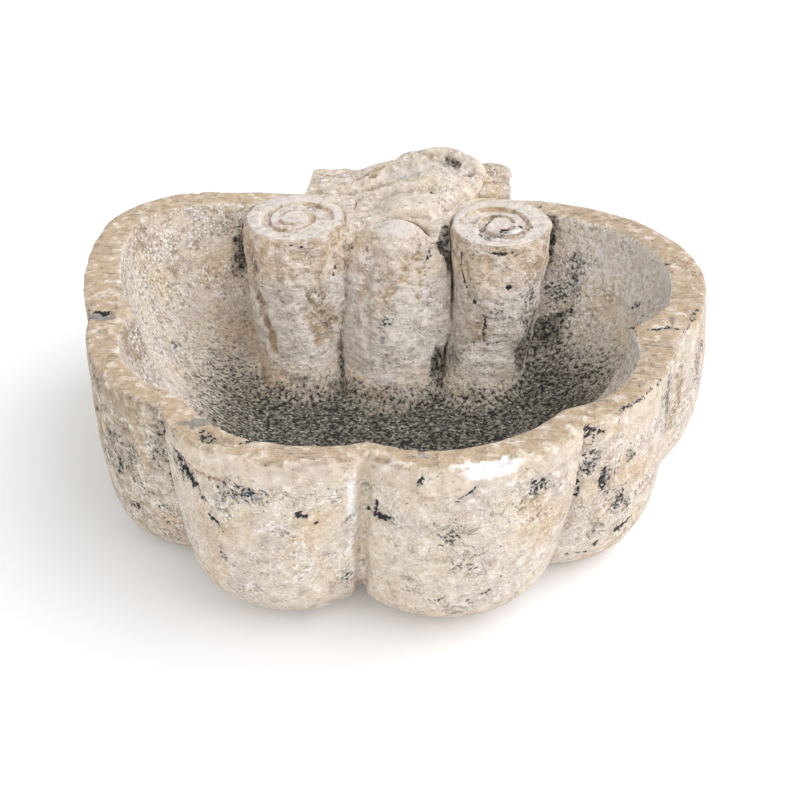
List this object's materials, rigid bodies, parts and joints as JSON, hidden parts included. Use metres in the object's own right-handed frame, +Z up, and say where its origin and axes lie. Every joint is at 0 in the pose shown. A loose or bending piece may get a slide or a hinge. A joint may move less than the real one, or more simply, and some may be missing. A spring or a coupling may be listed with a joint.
{
  "type": "holy water stoup",
  "caption": "Lobed shell-shaped stone basin for a church wall, with scrolls and a rib rising inside its back wall and a carved crest on the tail block behind it.",
  "frame": {"origin": "middle of the plan, on the surface that the basin stands on", "axes": "+X to the right as seen from the front, +Y towards the wall, +Z up; the shell's front faces -Y"},
  "size_m": [0.379, 0.3554, 0.1381],
  "materials": {
    "tooled_marble": "matt, chisel-dressed, darkened in the bowl",
    "rubbed_marble": "matt, rubbed smooth by use",
    "split_marble": "rough, split from the block",
    "carved_marble": "matt, worn carving"
  },
  "bodies": {
    "root": {"shell_bowl": "tooled_marble", "scroll_left": "rubbed_marble", "scroll_right": "rubbed_marble", "centre_rib": "rubbed_marble", "tail_block": "split_marble", "crest": "carved_marble"}
  },
  "joints": []
}
